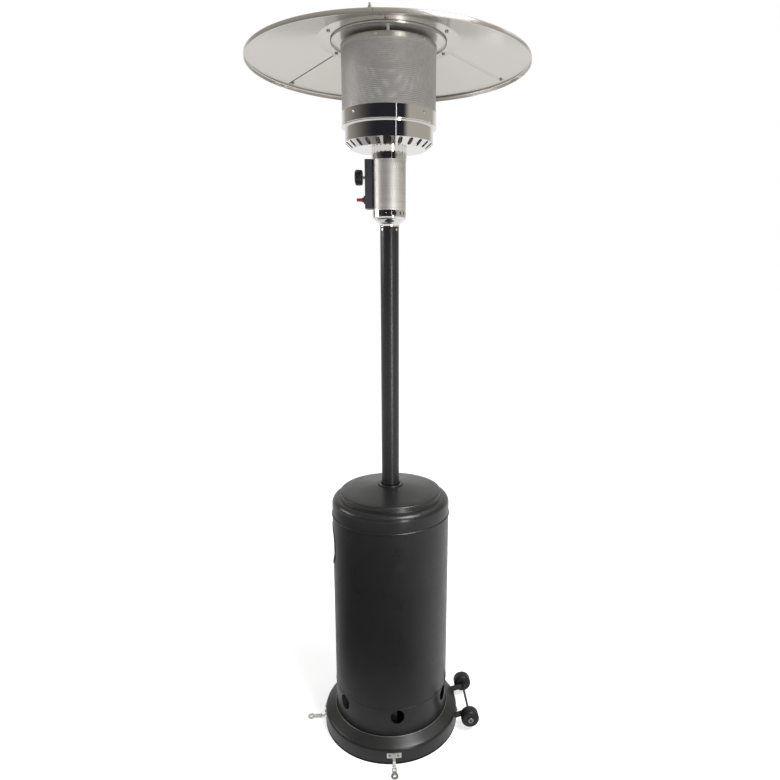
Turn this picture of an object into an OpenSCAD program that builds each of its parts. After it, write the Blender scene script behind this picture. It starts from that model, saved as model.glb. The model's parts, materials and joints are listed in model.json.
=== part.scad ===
// Mushroom gas patio heater: round weighted base, lift-up bottle housing, pole, burner head and reflector.
// Millimetres, +Z up, origin on the floor at the middle of the base. The controls face -X, the wheels +X.

/* [Base] */
// Diameter of the base over its rim
base_d = 468; // [456:2:484]
// Straight height of the rim
base_rim_h = 46; // [40:1:50]
// Radius of the rounded shoulder of the base
base_shoulder_r = 12; // [8:1:18]
// Height of the pan floor that the gas bottle stands on
pan_floor_h = 70; // [67:1:78]
// Rise of the ridge round the foot of the collar
pan_ridge_h = 2.5; // [1:0.5:4]
// Width of the ridge round the foot of the collar
pan_ridge_w = 4; // [3:0.5:6]
// Width of the turned-in foot under the rim
base_foot_w = 22; // [16:1:30]
// Sheet thickness of the base and its collar
base_sheet = 1.2; // [1:0.1:1.6]
// Diameter of the drain hole in the pan floor
drain_d = 50; // [30:2:70]

/* [Collar] */
// Height of the collar from the pan floor to the housing seat
collar_h = 100; // [90:1:110]
// Width of the collar's inner foot
collar_foot_w = 17; // [15:1:19]
// Height of the spigot that centres the housing
spigot_h = 15; // [10:1:22]
// Width of a vent hole
vent_w = 44; // [34:1:46]
// Height of a vent hole
vent_h = 50; // [46:1:51]
// Distance of the vent centres below the housing seat
vent_down = 27; // [26.5:0.5:36]
// Number of vent holes
vent_count = 6; // [4:1:8]
// Turn of the first vent hole
vent_turn = -86; // [-100:1:-70]

/* [Housing] */
// Diameter of the bottle housing
housing_d = 388; // [380:2:392]
// Height of the bottle housing
housing_h = 615; // [595:5:650]
// Sheet thickness of the housing and its lid
housing_sheet = 1; // [0.8:0.1:1.2]
// Width of the hand hole
hand_w = 106; // [90:2:120]
// Height of the hand hole
hand_h = 136; // [126:2:150]
// Height of the hand hole's centre above the foot of the housing
hand_up = 510; // [480:1:525]
// Width of the edge trim's lips on the sheet
trim_lip = 5; // [4:0.5:7]
// Wall of the edge trim
trim_wall = 1.4; // [1:0.1:2]

/* [Lid] */
// Height of the lid's straight side
lid_side_h = 40; // [34:1:46]
// Radius of the lid's shoulder
lid_shoulder_r = 22; // [18:1:26]
// Radius of the rolled bead at the lid's foot
lid_bead_r = 2.5; // [2:0.1:3]
// Depth of the joggle that plugs into the housing
lid_plug_h = 14; // [10:1:20]
// Width of the flat ledge inside the shoulder
lid_ledge_w = 2; // [1:0.5:4]
// Height of the step up to the raised middle
lid_step_h = 18; // [12:1:22]
// Width of the step up to the raised middle
lid_step_w = 6; // [5:0.5:10]
// Rise of the raised middle from its edge to the pole collar
lid_rise = 18; // [10:1:24]
// Height of the rolled collar round the pole
lid_collar_h = 4; // [3:0.5:8]
// Width of the rolled collar round the pole
lid_collar_w = 11; // [8:0.5:14]
// Gap between the pole and the lid
lid_pole_gap = 2.5; // [1.5:0.1:4]

/* [Legs] */
// Width of a leg bar
leg_w = 25; // [20:1:30]
// Thickness of a leg bar
leg_t = 4; // [3:0.5:5]
// Distance from the housing's outside to the leg's middle
leg_inset = 22; // [20:0.5:25]
// Length of a leg's foot tab
leg_foot_l = 15; // [13:0.5:16]
// Height of the knee where a leg leans in
leg_knee_h = 715; // [680:5:730]
// Height of the underside of the pole foot
pole_foot_h = 800; // [790:1:820]
// Diameter of the pole foot
pole_foot_d = 124; // [118:2:140]
// Thickness of the pole foot
pole_foot_t = 5; // [4:0.5:8]
// Circle diameter of the bolts that hold the legs to the pole foot
foot_bolt_circle = 96; // [92:1:100]
// Thread diameter of the leg bolts
leg_bolt_d = 6; // [5:0.5:7]

/* [Pole and gas pipe] */
// Diameter of the pole
pole_d = 57; // [54:0.5:60]
// Wall of the pole
pole_wall = 1.5; // [1.2:0.1:2]
// Length of the pole
pole_l = 910; // [860:5:960]
// Diameter of the gas pipe inside the pole
gas_pipe_d = 10; // [8:0.5:12]
// Wall of the gas pipe
gas_pipe_wall = 1; // [0.8:0.1:1.5]
// Outside diameter of the gas inlet's thread
inlet_d = 16.6; // [14:0.1:18]
// Length of the gas inlet's thread
inlet_l = 16; // [12:1:20]
// Height of the gas inlet's hexagon
inlet_hex_h = 18; // [14:1:22]

/* [Anchors] */
// Width of an anchor's plate round the rim
anchor_plate_w = 47; // [44:1:60]
// Height of an anchor's plate
anchor_plate_h = 18; // [16:1:20]
// Height of the middle of an anchor's plate
anchor_plate_up = 34; // [32:1:36]
// Sheet thickness of an anchor
anchor_t = 2.5; // [2:0.1:3]
// Width of an anchor's stem
anchor_stem_w = 9; // [8:0.5:12]
// Distance of the anchor pin outside the rim
anchor_pin_out = 20; // [18:0.5:26]
// Height of the anchor pin
anchor_pin_h = 4.6; // [4.4:0.1:6]
// Diameter of the anchor pin
anchor_pin_d = 4; // [3:0.1:4.4]
// Length of the anchor link from its pin to the eye
link_l = 34; // [32:1:44]
// Width of the anchor link's fork
link_w = 14; // [13:0.5:16]
// Thickness of the anchor link
link_t = 5; // [4:0.2:6]
// Outside diameter of the anchor eye
eye_d = 24; // [21:0.5:28]
// Bore of the anchor eye
eye_bore = 12; // [10:0.5:14]

/* [Wheels] */
// Diameter of a wheel
wheel_d = 62; // [56:1:66]
// Width of a wheel
wheel_w = 40; // [34:1:44]
// Rounding of a wheel's edges
wheel_edge_r = 9; // [5:0.5:12]
// Distance from the middle of one wheel to the other
wheel_track = 188; // [180:1:196]
// Distance of the axle from the middle of the base
axle_out = 271; // [269:1:282]
// Height of the axle
axle_h = 50; // [46:1:54]
// Diameter of the axle
axle_d = 8; // [6:0.5:10]
// Thickness of a wheel arm
arm_t = 4; // [3:0.5:5]
// Height of a wheel arm at the rim
arm_h = 22; // [19:1:25]
// Height of the middle of a wheel arm at the rim
arm_up = 35; // [32:1:37]
// Gap between a wheel's flank and its arm
arm_gap = 4; // [3:0.5:6]
// Diameter of an axle cap
axle_cap_d = 20; // [18:0.5:24]

/* [Head] */
// Height of the chrome cup under the head
cup_h = 22; // [19:1:28]
// Visible height of the lower vent ring
lower_ring_h = 17; // [15:1:22]
// Diameter of the lower vent ring
lower_ring_d = 101; // [99:0.5:104]
// Diameter of the control shell
shell_d = 99; // [97:0.5:101]
// Height of the control shell
shell_h = 143; // [140:1:160]
// Height of the upper vent ring above the shell
neck_h = 29; // [26:1:40]
// Diameter of the upper vent ring
neck_d = 104; // [100:0.5:108]
// Number of slots round the lower vent ring
lower_slot_count = 20; // [12:1:24]
// Width of a slot of the lower vent ring
lower_slot_w = 4; // [3:0.5:6]
// Height of a slot of the lower vent ring
lower_slot_h = 9; // [7:0.5:11]
// Number of holes in a row of the upper vent ring
neck_hole_count = 24; // [16:1:28]
// Diameter of a hole of the upper vent ring
neck_hole_d = 4.4; // [3:0.1:6]
// Sheet thickness of the head
head_sheet = 1; // [0.8:0.1:1.2]
// Turn of the whole head against the base
head_turn = -7; // [-20:1:20]

/* [Burner] */
// Diameter of the burner bowl's flat bottom
bowl_bottom_d = 216; // [210:2:232]
// Height of the slotted cone of the bowl
bowl_cone_h = 18; // [12:1:20]
// Diameter of the bowl's straight band
bowl_d = 260; // [256:1:264]
// Height of the bowl's straight band
bowl_band_h = 42; // [36:1:50]
// Number of air slots round the bowl
slot_count = 24; // [16:1:26]
// Width of an air slot
slot_w = 12; // [8:0.5:13]
// Length of an air slot
slot_l = 25.5; // [17:0.5:26]
// Diameter of the upper band
band_d = 277.2; // [275:0.2:281]
// Height of the upper band
band_h = 39; // [36:1:48]
// Thickness of the burner deck
deck_t = 1.5; // [1:0.1:2.5]
// Diameter of the burner drum
drum_d = 100; // [90:2:110]
// Height of the burner drum
drum_h = 46; // [36:1:56]
// Height of the emitter screen
screen_h = 213.5; // [200:0.5:230]
// Height of the screen cap's skirt
cap_skirt_h = 13; // [10:1:18]

/* [Controls] */
// Width of the control box
box_w = 48; // [46:1:60]
// Height of the control box
box_h = 140; // [138:1:142]
// Distance of the control box's face from the pole's axis
box_out = 71; // [70:0.5:76]
// Wall of the control box
box_wall = 1.6; // [1.2:0.1:2]
// Height of the knob above the foot of the shell
knob_up = 96; // [94:1:104]
// Diameter of the knob
knob_d = 45; // [40:1:48]
// Thickness of the knob
knob_t = 22; // [18:1:26]
// Gap between the knob and the control box
knob_gap = 9.4; // [8:0.2:12]
// Travel of the knob when pushed
knob_push = 4; // [3:0.5:5]
// Diameter of the valve stem
stem_d = 8; // [7:0.5:9]
// Height of the igniter above the foot of the shell
igniter_up = 32; // [28:1:34]
// Diameter of the igniter button
button_d = 10; // [9:0.5:11]
// Length of the button outside its sleeve
button_out = 17; // [10:1:20]
// Travel of the igniter button
button_push = 6; // [4:0.5:7]
// Diameter of the igniter's body
igniter_d = 18; // [16:0.5:20]
// Diameter of the igniter's collar nut
igniter_nut_d = 24; // [22.5:0.5:28]
// Height of the igniter's collar nut
igniter_nut_h = 6; // [4:0.5:8]
// Length of the igniter's sleeve in front of the nut
sleeve_l = 5; // [4:1:12]

/* [Reflector] */
// Diameter of the reflector
reflector_d = 813; // [800:1:830]
// Depth of the reflector from its flange to its lower edge
reflector_depth = 67; // [60:1:76]
// Height of the reflector's rim
reflector_lip_h = 12; // [8:1:16]
// Sheet thickness of the reflector
reflector_sheet = 0.8; // [0.6:0.1:1.2]
// Outside diameter of the reflector's flat flange
flange_d = 410; // [404:2:430]
// Inside diameter of the reflector's flat flange
flange_in_d = 330; // [320:2:340]
// Height of the lip turned down inside the flange
flange_lip_h = 3; // [2:0.5:5]
// Diameter of the centre disc
disc_d = 404; // [396:2:410]
// Thickness of the centre disc
disc_t = 1.2; // [1:0.1:2]
// Gap between the screen cap and the reflector's disc
standoff_gap = 13.6; // [10:0.2:18]
// Circle diameter of the standoffs
standoff_circle = 236; // [220:2:244]
// Width of the lap where two panels meet
lap_w = 20; // [16:1:26]

/* [Fasteners] */
// Thread diameter of the small screws
screw_d = 4; // [3.5:0.1:4.5]
// Head diameter of the small screws
screw_head_d = 8; // [7:0.2:9]
// Head height of the small screws
screw_head_h = 2.6; // [2:0.1:3.2]
// Length of the screws in the base's rim
base_screw_l = 8; // [6:1:12]
// Length of the screws in the head
head_screw_l = 6; // [5:0.5:10]
// Thread diameter of the reflector's bolts and standoffs
bolt_d = 5; // [4.5:0.1:5.5]

/* [Hidden] */

$fn = 96;
small_fn = 32;

// Clearances shared by every fit
slide_gap = 0.4;
seat_gap = 0.1;
hole_gap = 0.1;
run_gap = 0.08;
flank_gap = 0.4;
eps = 0.01;
bend_swell = 1.2;
end_room = 1;
joint_sink = 1;

// Base
base_r = base_d / 2;
collar_r = housing_d / 2;
ridge_gap = 0.6;
ridge_r = collar_r + ridge_gap + pan_ridge_w;
ridge_z = pan_floor_h + pan_ridge_h;
shoulder_c = [base_r - base_shoulder_r, base_rim_h];
to_ridge = [ridge_r, ridge_z] - shoulder_c;
shoulder_end = atan2(to_ridge[1], to_ridge[0]) - acos(base_shoulder_r / norm(to_ridge));
seat_z = pan_floor_h + collar_h;
spigot_step = housing_sheet + slide_gap;
cut_reach = 12;

// Housing and lid
housing_r = housing_d / 2;
housing_in_r = housing_r - housing_sheet;
housing_top = seat_z + housing_h;
hand_z = seat_z + hand_up;
lid_plug_r = housing_in_r - slide_gap;
lid_ledge_z = housing_top + lid_side_h + lid_shoulder_r;
lid_ledge_r = housing_r - lid_shoulder_r - lid_ledge_w;
lid_edge_r = lid_ledge_r - lid_step_w;
lid_edge_z = lid_ledge_z + lid_step_h;
lid_hole_r = pole_d / 2 + lid_pole_gap;
lid_collar_r = lid_hole_r + lid_collar_w;
lid_collar_z = lid_edge_z + lid_rise;
step_round = 0.35;
bead_sink = 1.2;
bead_end = acos(bead_sink / lid_bead_r);
shoulder_steps = 16;
roll_down = 2;
roll_r = 1.8;

// Legs and pole foot
leg_turns = [30, 150, 270];
leg_r = housing_r - leg_inset;
leg_foot_z = pan_floor_h + base_sheet + leg_t / 2;
leg_top_z = pole_foot_h - leg_t / 2;
leg_tab_in = 20;
leg_tab_edge = 2;
foot_bolt_r = foot_bolt_circle / 2;
leg_head_r = leg_bolt_d;
leg_bolt_r = leg_r + leg_t / 2 + leg_head_r + end_room;
leg_head_h = 4;
leg_nut_h = 5;
leg_tail = 2;

// Pole and gas line
pole_r = pole_d / 2;
pole_in_r = pole_r - pole_wall;
pole_z = pole_foot_h + pole_foot_t;
pole_top = pole_z + pole_l;
foot_plug_h = 40;
foot_plug_wall = 2;
inlet_step = 0.6;
inlet_neck_d = inlet_d - inlet_step;
inlet_neck_out = 7;
inlet_neck_h = pole_foot_t + inlet_neck_out;
inlet_hex_r = inlet_d * 0.84;
gas_bore_d = gas_pipe_d - 2 * gas_pipe_wall;

// Anchors
anchor_turns = [-90, 180, 90];
anchor_r = base_r + seat_gap;
anchor_pin_r = base_r + anchor_pin_out;
anchor_half_turn = anchor_plate_w / 2 / base_r * 180 / PI;
anchor_screw_in = 10;
anchor_screw_turn = (anchor_plate_w / 2 - anchor_screw_in) / base_r * 180 / PI;
knuckle_r = 4;
knuckle_w = 6;
fork_gap = 0.4;
fork_in = knuckle_w / 2 + fork_gap;
fork_out = link_w / 2;
fork_l = 17;
fork_bridge = 3;
stem_end_r = anchor_pin_r - knuckle_r - 2 * joint_sink;
stem_bend_z = 13;

// Wheels
arm_y = wheel_track / 2 - wheel_w / 2 - arm_gap - arm_t;
arm_turn = asin((arm_y + arm_t / 2) / base_r);
arm_tab_turn = 8;
arm_screw_in = 22;
arm_screw_turn = arm_turn - arm_screw_in / base_r * 180 / PI;
arm_screw_up = 6;
arm_boss_wall = 6;
arm_boss_r = axle_d / 2 + arm_boss_wall;
arm_root_x = sqrt(pow(base_r, 2) - pow(arm_y + arm_t, 2)) - arm_t;
arm_skin = 2.5;
hub_wall = 5;
hub_r = axle_d / 2 + hub_wall;
hub_out = arm_gap - flank_gap;
axle_cap_h = 4;
axle_cap_y = wheel_track / 2 + wheel_w / 2 + flank_gap;
axle_cap_round = 3;
axle_half = axle_cap_y + axle_cap_h + end_room;

// Head stack, from the pole upwards
cup_top = pole_top + cup_h;
spigot_down = 55;
spigot_wall = 2;
spigot_flange_t = 2;
lower_ring_r = lower_ring_d / 2;
shell_r = shell_d / 2;
shell_in_r = shell_r - head_sheet;
shell_z = cup_top + lower_ring_h;
shell_top = shell_z + shell_h;
neck_r = neck_d / 2;
plug_in = 10;
plug_r = shell_in_r - seat_gap;
ring_lip = 6;
cup_neck_down = 8;
cup_flare_down = 2;
cup_rim_h = 4;
screw_turn = 50;
slot_turn = 5;
pole_screw_down = 16;
band_screw_down = 14;
cap_screw_turn = 20;
bowl_z = shell_top + neck_h;
bowl_hole_r = neck_r - ring_lip;
bowl_r = bowl_d / 2;
bowl_bottom_r = bowl_bottom_d / 2;
bowl_cone_z = bowl_z + bowl_cone_h;
ledge_z = bowl_cone_z + bowl_band_h;
ledge_out = 1;
band_r = band_d / 2;
band_z = ledge_z + head_sheet;
band_foot_lap = 4;
band_foot_in = bowl_r - band_foot_lap;
deck_z = band_z + head_sheet;
deck_top = deck_z + deck_t;
screen_sheet = 0.8;
screen_gap = 0.6;
screen_r = band_r - head_sheet - screen_gap;
screen_top = deck_top + screen_h;
cap_r = screen_r + seat_gap + head_sheet;
cap_top = screen_top + head_sheet;
cap_hole_r = 20;
drum_r = drum_d / 2;
tube_r = 25;
tube_wall = 1.5;
tube_down = 46;
drum_foot = 8;
drum_port_count = 24;
port_w = 3;
port_share = 0.5;

// Controls, in a frame whose X points out through the knob
control_turn = 180 + head_turn;
box_up = 4;
box_z = shell_z + shell_h / 2 + box_up;
box_in = box_out - box_wall;
knob_z = shell_z + knob_up;
igniter_z = shell_z + igniter_up;
stem_r = stem_d / 2;
valve_w = 32;
valve_h = 60;
valve_back = 16;
valve_front = 34;
valve_boss_wall = 7;
valve_boss_r = stem_r + valve_boss_wall;
plunger_wall = 3;
plunger_r = stem_r + plunger_wall;
plunger_l = 6;
plunger_x = 58;
spring_room = 4;
chamber_x = plunger_x - knob_push - spring_room;
stem_tail = 8;
stem_tail_x = chamber_x - stem_tail;
knob_x = box_out + knob_gap;
knob_r = knob_d / 2;
knob_face = 9;
knob_bore_l = knob_t - knob_face;
knob_round_r = 5;
flute_count = 16;
flute_r = 3;
flute_out = 2.2;
window_w = 30;
window_h = 124;
igniter_r = igniter_d / 2;
igniter_tail_x = 30;
igniter_flange_t = 2;
button_r = button_d / 2;
igniter_nut_x = box_out + igniter_nut_h;
sleeve_x = igniter_nut_x + sleeve_l;
sleeve_wall = 2;
button_in = 15;
collar_front = 1.5;
jet_r = 6;
jet_h = 36;
jet_hex_h = 10;
jet_hex_r = 8;
jet_nozzle_r = 4.5;
jet_nozzle_h = 26;

// Lines from the valve to the flame
line_y = 12;
neck_line_y = 33;
line_step = 12;
line_bend = 32;
line_low = 20;
line_high = 46;
line_room = 6;
line_hole_r = 2.5;
flame_r = drum_r + drum_foot + line_room;
pilot_r = 2;
pilot_up = 38;
couple_r = 1.5;
couple_up = 52;
spark_turn = 47;
spark_stub = 6;
spark_y = 26;
spark_rise = 16;
spark_up = 36;
spark_room = 4;
spark_at = (flame_r + spark_room) * [cos(spark_turn), sin(spark_turn)];
spark_sleeve_r = 3.5;
spark_sleeve_l = 22;
spark_sleeve_z = 6;

// Reflector
reflector_r = reflector_d / 2;
reflector_in_r = reflector_r - reflector_sheet;
disc_z = cap_top + standoff_gap;
flange_z = disc_z - reflector_sheet;
rim_z = flange_z - reflector_depth;
flange_r = flange_d / 2;
flange_in_r = flange_in_d / 2;
lip_top = rim_z + reflector_lip_h;
rim_round = 4;
rim_c = [reflector_in_r - rim_round, lip_top - rim_round];
to_flange = [flange_r, flange_z] - rim_c;
rim_end = atan2(to_flange[1], to_flange[0]) - acos(rim_round / norm(to_flange));
cone_slope = 90 - rim_end;
panel_count = 3;
panel_turn = 360 / panel_count;
panel_start = -90;
seam_turns = [for (i = [0 : panel_count - 1]) head_turn + panel_start + i * panel_turn];
seam_gap_turn = 0.2;
lap_turn = lap_w / reflector_r * 180 / PI;
lap_gap = 0.15;
lap_margin = 10;
hem_h = 3;
hem_t = 1.6;
flange_bolt_share = 0.57;
flange_bolt_r = flange_in_r + flange_bolt_share * (disc_d / 2 - flange_in_r);
flange_bolt_shift = 3;
standoff_r = standoff_circle / 2;
standoff_shift = 4;
standoff_turns = [for (a = seam_turns) a + standoff_shift];
standoff_body_r = bolt_d;
standoff_tail = 4;
seam_bolt_in = 22;
seam_bolt_r = reflector_r - seam_bolt_in;
seam_bolt_z = cone_at(seam_bolt_r)[1];
bolt_head_wall = 2.2;
bolt_head_r = bolt_d / 2 + bolt_head_wall;
bolt_head_h = 2.8;
bolt_nut_h = 4;
bolt_tail = 6;
wing_l = 11;
wing_h = 9;
wing_t = 2.4;
wing_tip = 5;
wing_dip = 2;
nut_h = 5;

// Outline helpers
function unit(v) = v / norm(v);
function left_of(v) = [-v[1], v[0]];
function reversed(list) = [for (i = [len(list) - 1 : -1 : 0]) list[i]];
function arc(c, r, a0, a1, n = 8) =
    [for (i = [0 : n]) let (a = a0 + (a1 - a0) * i / n) c + r * [cos(a), sin(a)]];
function corner_shift(before, after, t) =
    let (n = left_of(unit(before)), m = left_of(unit(after))) t * (n + m) / (1 + n * m);
function shifted(path, t) =
    let (last = len(path) - 1)
    [for (i = [0 : last])
        let (before = i == 0 ? path[1] - path[0] : path[i] - path[i - 1])
        let (after = i == last ? before : path[i + 1] - path[i])
        path[i] + corner_shift(before, after, t)];
// A sheet of thickness t to the left of its path, or to the right where t is negative
function sheet(path, t) = concat(path, reversed(shifted(path, t)));
// A bar of thickness t centred on its path
function bar(path, t) = concat(shifted(path, t / 2), reversed(shifted(path, -t / 2)));
// An S-shaped blend between two points that starts and ends upright
function blend(a, b, n = 8) =
    [for (i = [0 : n])
        let (u = i / n)
        [a[0] + (b[0] - a[0]) * (1 - cos(180 * u)) / 2, a[1] + (b[1] - a[1]) * u]];

// Shape helpers
module lathe(path, t) {
    rotate_extrude() polygon(sheet(path, t));
}

module ring(r_out, r_in, h) {
    difference() {
        cylinder(r = r_out, h = h);
        translate([0, 0, -eps]) cylinder(r = r_in, h = h + 2 * eps);
    }
}

module obround(w, h) {
    square([w, h - w], center = true);
    for (s = [-1, 1]) translate([0, s * (h - w) / 2]) circle(d = w, $fn = small_fn);
}

// Puts children at a radius, turned so that their Z points outwards
module outward(turn, r, z) {
    rotate([0, 0, turn]) translate([r, 0, z]) rotate([0, 90, 0]) children();
}

module outward_hole(turn, r, z, d) {
    outward(turn, r - cut_reach / 2, z) cylinder(d = d, h = cut_reach, $fn = small_fn);
}

module outward_slot(turn, r, z, w, h) {
    rotate([0, 0, turn]) translate([r - cut_reach / 2, 0, z]) rotate([90, 0, 90])
        linear_extrude(cut_reach) obround(w, h);
}

// A pan-head screw with its head above Z = 0
module pan_screw(l) {
    rotate_extrude($fn = small_fn)
        polygon([
            [0, -l], [screw_d / 2, -l], [screw_d / 2, 0], [screw_head_d / 2, 0],
            [screw_head_d / 2, screw_head_h * 0.5], [screw_head_d * 0.36, screw_head_h], [0, screw_head_h]
        ]);
}

module hex(r, h) {
    cylinder(r = r, h = h, $fn = 6);
}

// A tube run through points, with a slightly fuller ball at each bend
module rod(points, r) {
    for (i = [0 : len(points) - 2]) {
        step = points[i + 1] - points[i];
        translate(points[i]) rotate([0, acos(step[2] / norm(step)), atan2(step[1], step[0])])
            cylinder(r = r, h = norm(step), $fn = small_fn);
    }
    for (i = [1 : len(points) - 2]) translate(points[i]) sphere(r = r * bend_swell, $fn = small_fn);
}

module at_legs() {
    for (a = leg_turns) rotate([0, 0, a]) children();
}

module control_frame(z) {
    rotate([0, 0, control_turn]) translate([0, 0, z]) children();
}

// Puts children along the control frame's X, starting at x
module along_x(x) {
    translate([x, 0, 0]) rotate([0, 90, 0]) children();
}

// Holes of the leg bolts at the foot and under the pole
module leg_foot_holes() {
    at_legs() translate([leg_bolt_r, 0, pan_floor_h - cut_reach / 2])
        cylinder(d = leg_bolt_d + 2 * hole_gap, h = cut_reach + leg_t, $fn = small_fn);
}

module leg_top_holes() {
    at_legs() translate([foot_bolt_r, 0, pole_foot_h - cut_reach / 2])
        cylinder(d = leg_bolt_d + 2 * hole_gap, h = cut_reach + pole_foot_t, $fn = small_fn);
}

// Where the small screws enter the rim of the base
module at_rim_screws() {
    for (a = anchor_turns, s = [-1, 1]) outward(a + s * anchor_screw_turn, 0, anchor_plate_up) children();
    for (s = [-1, 1], u = [-1, 1]) outward(s * arm_screw_turn, 0, arm_up + u * arm_screw_up) children();
}

module rim_screw_holes() {
    at_rim_screws() translate([0, 0, base_r - cut_reach / 2])
        cylinder(d = screw_d + 2 * hole_gap, h = cut_reach, $fn = small_fn);
}

// Base
module base_pan() {
    color("#2b2b2c") difference() {
        lathe(concat(
            [[base_r - base_foot_w, 0], [base_r, 0]],
            arc(shoulder_c, base_shoulder_r, 0, shoulder_end, shoulder_steps),
            [[ridge_r, ridge_z], [ridge_r - pan_ridge_w / 2, ridge_z], [collar_r + ridge_gap, pan_floor_h]],
            [[drain_d / 2, pan_floor_h]]
        ), base_sheet);
        leg_foot_holes();
        rim_screw_holes();
    }
}

module base_collar() {
    color("#2b2b2c") difference() {
        lathe([
            [collar_r - collar_foot_w, pan_floor_h], [collar_r, pan_floor_h], [collar_r, seat_z],
            [collar_r - spigot_step, seat_z], [collar_r - spigot_step, seat_z + spigot_h]
        ], base_sheet);
        for (i = [0 : vent_count - 1])
            outward_slot(vent_turn + i * 360 / vent_count, collar_r, seat_z - vent_down, vent_w, vent_h);
        leg_foot_holes();
    }
}

// Legs and pole foot
module leg(turn) {
    tab_r = pole_foot_d / 2 - leg_tab_edge;
    color("#3a3a3b") difference() {
        rotate([0, 0, turn]) rotate([90, 0, 0]) linear_extrude(leg_w, center = true)
            polygon(bar([
                [leg_r + leg_foot_l, leg_foot_z], [leg_r, leg_foot_z], [leg_r, leg_knee_h],
                [tab_r, leg_top_z], [foot_bolt_r - leg_tab_in / 2, leg_top_z]
            ], leg_t));
        leg_foot_holes();
        leg_top_holes();
    }
}

// A hexagon bolt and nut that clamp a stack whose top is at Z = 0
module leg_bolt(grip) {
    hex(leg_head_r, leg_head_h);
    translate([0, 0, -grip - leg_nut_h - leg_tail])
        cylinder(d = leg_bolt_d, h = grip + leg_nut_h + leg_tail + eps, $fn = small_fn);
    translate([0, 0, -grip - leg_nut_h]) hex(leg_head_r, leg_nut_h);
}

module leg_bolts() {
    color("#b8b8b4") at_legs() {
        translate([leg_bolt_r, 0, leg_foot_z + leg_t / 2]) leg_bolt(leg_t + 2 * base_sheet);
        translate([foot_bolt_r, 0, pole_z]) leg_bolt(leg_t + pole_foot_t);
    }
}

module pole_foot() {
    color("#3a3a3b") difference() {
        union() {
            translate([0, 0, pole_foot_h]) cylinder(d = pole_foot_d, h = pole_foot_t);
            translate([0, 0, pole_z - eps]) cylinder(r = pole_in_r - seat_gap, h = foot_plug_h);
        }
        translate([0, 0, pole_z]) cylinder(r = pole_in_r - foot_plug_wall - seat_gap, h = foot_plug_h);
        translate([0, 0, pole_foot_h - eps])
            cylinder(d = inlet_neck_d + 2 * hole_gap, h = pole_foot_t + 2 * eps);
        leg_top_holes();
    }
}

module gas_inlet() {
    color("#b59a55") translate([0, 0, pole_foot_h]) difference() {
        union() {
            translate([0, 0, -inlet_hex_h]) hex(inlet_hex_r, inlet_hex_h);
            translate([0, 0, -inlet_hex_h - inlet_l]) cylinder(d = inlet_d, h = inlet_l + eps);
            translate([0, 0, -eps]) cylinder(d = inlet_neck_d, h = inlet_neck_h + eps);
        }
        translate([0, 0, -inlet_hex_h - inlet_l - eps])
            cylinder(d = gas_bore_d, h = inlet_hex_h + inlet_l + inlet_neck_h + 2 * eps);
    }
}

module gas_pipe() {
    low = pole_foot_h + inlet_neck_h;
    color("#c9c6bf") translate([0, 0, low]) ring(gas_pipe_d / 2, gas_bore_d / 2, knob_z - valve_h / 2 - low);
}

module pole() {
    color("#2d2d2e") difference() {
        translate([0, 0, pole_z]) ring(pole_r, pole_in_r, pole_l);
        at_pole_screws() outward_hole(0, pole_r, 0, screw_d + 2 * hole_gap);
    }
}

// Anchors
module anchor_bracket(turn) {
    color("#c3c2ba") difference() {
        rotate([0, 0, turn]) union() {
            rotate([0, 0, -anchor_half_turn]) rotate_extrude(angle = 2 * anchor_half_turn)
                translate([anchor_r, anchor_plate_up - anchor_plate_h / 2])
                    square([anchor_t, anchor_plate_h]);
            stem_x = anchor_r + anchor_t / 2;
            rotate([90, 0, 0]) linear_extrude(anchor_stem_w, center = true)
                polygon(bar([
                    [stem_x, anchor_plate_up], [stem_x, stem_bend_z],
                    [stem_x + stem_bend_z - anchor_pin_h, anchor_pin_h], [stem_end_r, anchor_pin_h]
                ], anchor_t));
            translate([stem_end_r - joint_sink, -knuckle_w / 2, anchor_pin_h - anchor_t / 2])
                cube([anchor_pin_r - stem_end_r + joint_sink, knuckle_w, anchor_t]);
            translate([anchor_pin_r, 0, anchor_pin_h]) rotate([90, 0, 0])
                cylinder(r = knuckle_r, h = knuckle_w, center = true, $fn = small_fn);
        }
        anchor_pin_holes(turn, hole_gap / 2);
        rim_screw_holes();
        cylinder(r = base_r + seat_gap / 2, h = seat_z);
    }
}

module anchor_pin_holes(turn, gap) {
    rotate([0, 0, turn]) translate([anchor_pin_r, 0, anchor_pin_h]) rotate([90, 0, 0])
        cylinder(d = anchor_pin_d + 2 * gap, h = 2 * link_w, center = true, $fn = small_fn);
}

module anchor_link(turn) {
    color("#b4b3ab") difference() {
        rotate([0, 0, turn]) translate([anchor_pin_r, 0, anchor_pin_h]) union() {
            for (s = [-1, 1]) {
                fork_mid = (fork_in + fork_out) / 2;
                translate([0, s * fork_mid, 0]) rotate([90, 0, 0])
                    cylinder(r = knuckle_r, h = fork_out - fork_in, center = true, $fn = small_fn);
                translate([fork_l / 2, s * fork_mid, 0])
                    cube([fork_l, fork_out - fork_in, link_t], center = true);
            }
            translate([fork_l - joint_sink, -fork_out, -link_t / 2])
                cube([fork_bridge + joint_sink, 2 * fork_out, link_t]);
            translate([fork_l, -knuckle_w / 2, -link_t / 2]) cube([link_l - fork_l, knuckle_w, link_t]);
            translate([link_l, 0, -link_t / 2]) cylinder(d = eye_d, h = link_t);
        }
        rotate([0, 0, turn]) translate([anchor_pin_r + link_l, 0, anchor_pin_h - link_t])
            cylinder(d = eye_bore, h = 2 * link_t);
        anchor_pin_holes(turn, run_gap);
    }
}

module anchor_pins() {
    color("#8f8e88") for (a = anchor_turns)
        rotate([0, 0, a]) translate([anchor_pin_r, 0, anchor_pin_h]) rotate([90, 0, 0])
            cylinder(d = anchor_pin_d, h = link_w, center = true, $fn = small_fn);
}

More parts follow.
